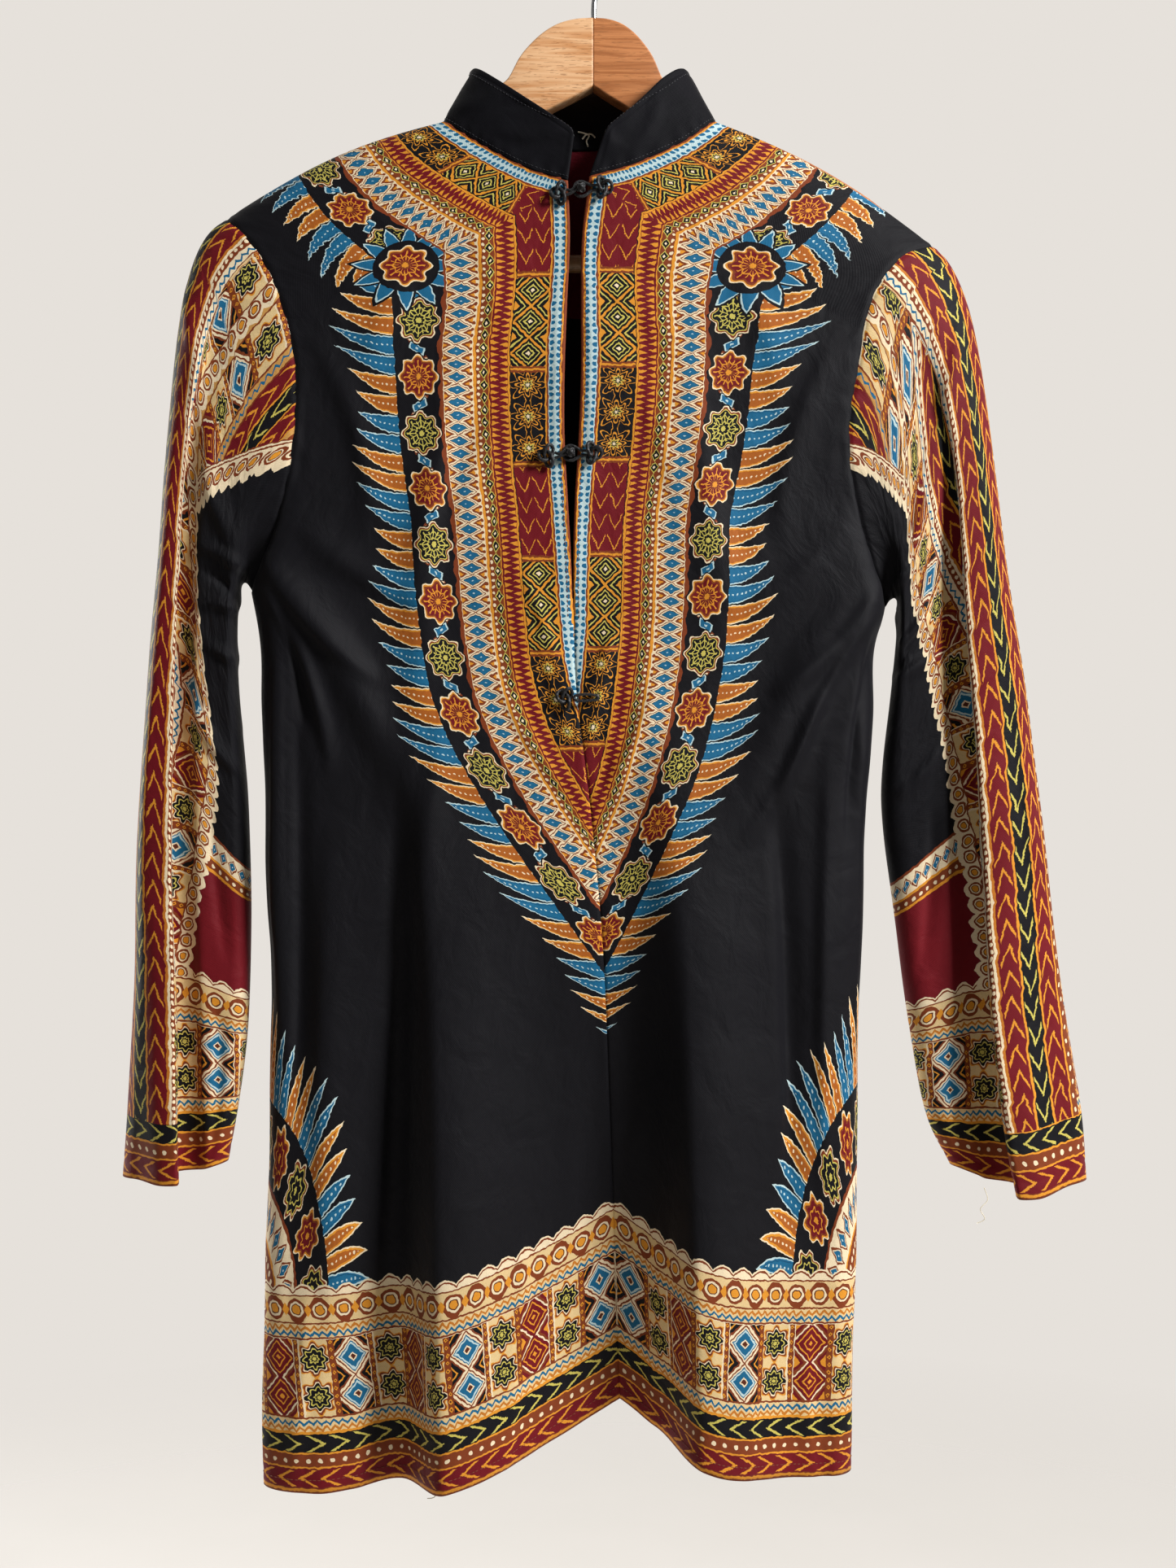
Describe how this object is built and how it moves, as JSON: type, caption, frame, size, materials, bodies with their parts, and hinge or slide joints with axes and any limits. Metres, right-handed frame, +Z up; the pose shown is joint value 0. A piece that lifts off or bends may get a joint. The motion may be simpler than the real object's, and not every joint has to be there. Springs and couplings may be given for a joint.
{
  "type": "dashiki tunic on a wooden hanger",
  "caption": "Long-sleeved cotton dashiki tunic with stand collar, frogged neck slit, flared cuffs and printed borders, hung on a wooden hanger by its wire hook",
  "frame": {"origin": "the highest point inside the wire hook, where a rod carries the hanger", "axes": "+Z up, -Y towards the front of the tunic, +X to the right as seen from the front"},
  "size_m": [0.664, 0.0761, 1.0798],
  "materials": {
    "printed_cotton": "wax-printed plain-weave cotton, black ground with wine, rust, gold, cream and blue bands",
    "collar_cotton": "plain black cotton, two layers, edge-stitched",
    "frog_cord": "black braided cord",
    "hanger_wood": "lacquered pale hardwood",
    "hook_wire": "bright steel wire"
  },
  "bodies": {
    "root": {"front_left": "printed_cotton", "front_right": "printed_cotton", "back": "printed_cotton", "sleeve_left": "printed_cotton", "sleeve_right": "printed_cotton", "collar": "collar_cotton", "frog_1_left": "frog_cord", "frog_1_knot": "frog_cord", "frog_1_loop": "frog_cord", "frog_1_right": "frog_cord", "frog_2_left": "frog_cord", "frog_2_knot": "frog_cord", "frog_2_loop": "frog_cord", "frog_2_right": "frog_cord", "frog_3_left": "frog_cord", "frog_3_loop": "frog_cord", "hanger_arm_left": "hanger_wood", "hanger_arm_right": "hanger_wood", "trouser_bar": "hanger_wood", "hook": "hook_wire"}
  },
  "joints": []
}
